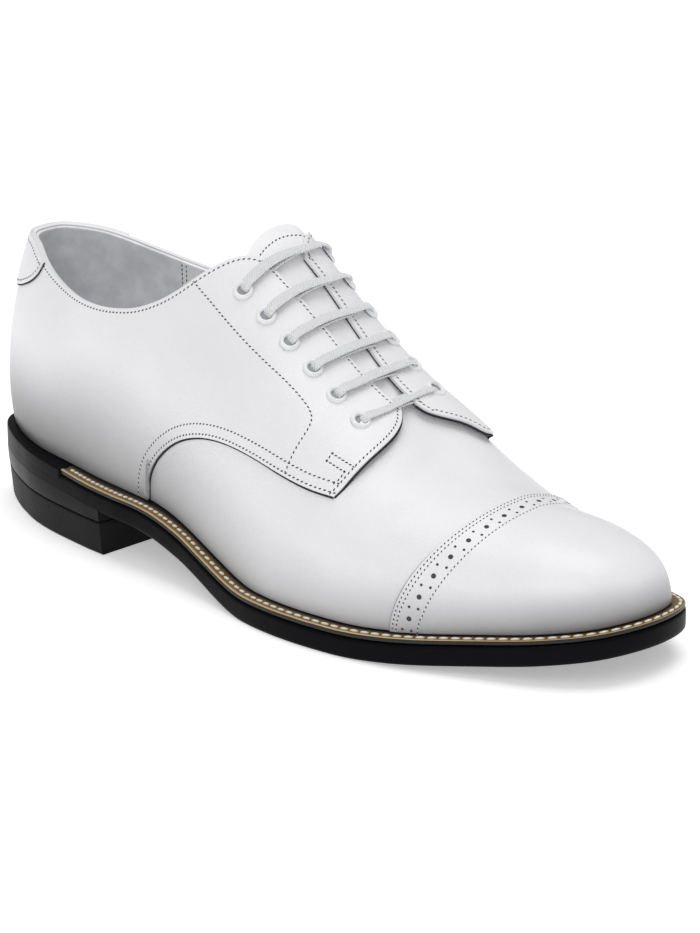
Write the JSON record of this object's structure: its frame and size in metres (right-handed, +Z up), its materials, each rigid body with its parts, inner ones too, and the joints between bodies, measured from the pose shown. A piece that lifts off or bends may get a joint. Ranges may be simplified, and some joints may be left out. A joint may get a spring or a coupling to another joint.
{
  "type": "cap toe oxford shoe",
  "caption": "Right low-cut leather lace-up dress shoe with a perforated toe cap, open lacing, stitched welt and a stacked heel.",
  "frame": {"origin": "on the floor at the middle of the heel's tread, 42 mm ahead of the outsole's heel back, on the sole's middle line", "axes": "+X towards the toe, +Y to the inner (big-toe) side of the foot, +Z up from the floor"},
  "size_m": [0.291, 0.102, 0.1173],
  "materials": {
    "upper_leather": "smooth white full-grain leather, semi-gloss",
    "tongue_leather": "smooth white leather, padded",
    "sock_lining": "light grey sueded lining leather",
    "welt_leather": "tan welt leather, edge waxed gold",
    "sole_leather": "black edge-dressed sole leather, semi-gloss",
    "heel_stack": "black edge-dressed stacked leather",
    "heel_rubber": "black rubber top piece, satin",
    "eyelet_enamel": "white enamelled metal, satin",
    "lace_cotton": "white woven flat cotton lace"
  },
  "bodies": {
    "root": {"upper": "upper_leather", "toe_cap": "upper_leather", "back_tab": "upper_leather", "tongue": "tongue_leather", "insole": "sock_lining", "welt": "welt_leather", "outsole": "sole_leather", "heel_base": "heel_stack", "heel_top_piece": "heel_rubber", "eyelet_outer_1": "eyelet_enamel", "eyelet_inner_1": "eyelet_enamel", "lace_bar_1": "lace_cotton", "eyelet_outer_2": "eyelet_enamel", "eyelet_inner_2": "eyelet_enamel", "lace_bar_2": "lace_cotton", "eyelet_outer_3": "eyelet_enamel", "eyelet_inner_3": "eyelet_enamel", "lace_bar_3": "lace_cotton", "eyelet_outer_4": "eyelet_enamel", "eyelet_inner_4": "eyelet_enamel", "lace_bar_4": "lace_cotton", "eyelet_outer_5": "eyelet_enamel", "eyelet_inner_5": "eyelet_enamel", "lace_bar_5": "lace_cotton", "eyelet_outer_6": "eyelet_enamel", "eyelet_inner_6": "eyelet_enamel", "lace_bar_6": "lace_cotton"}
  },
  "joints": []
}
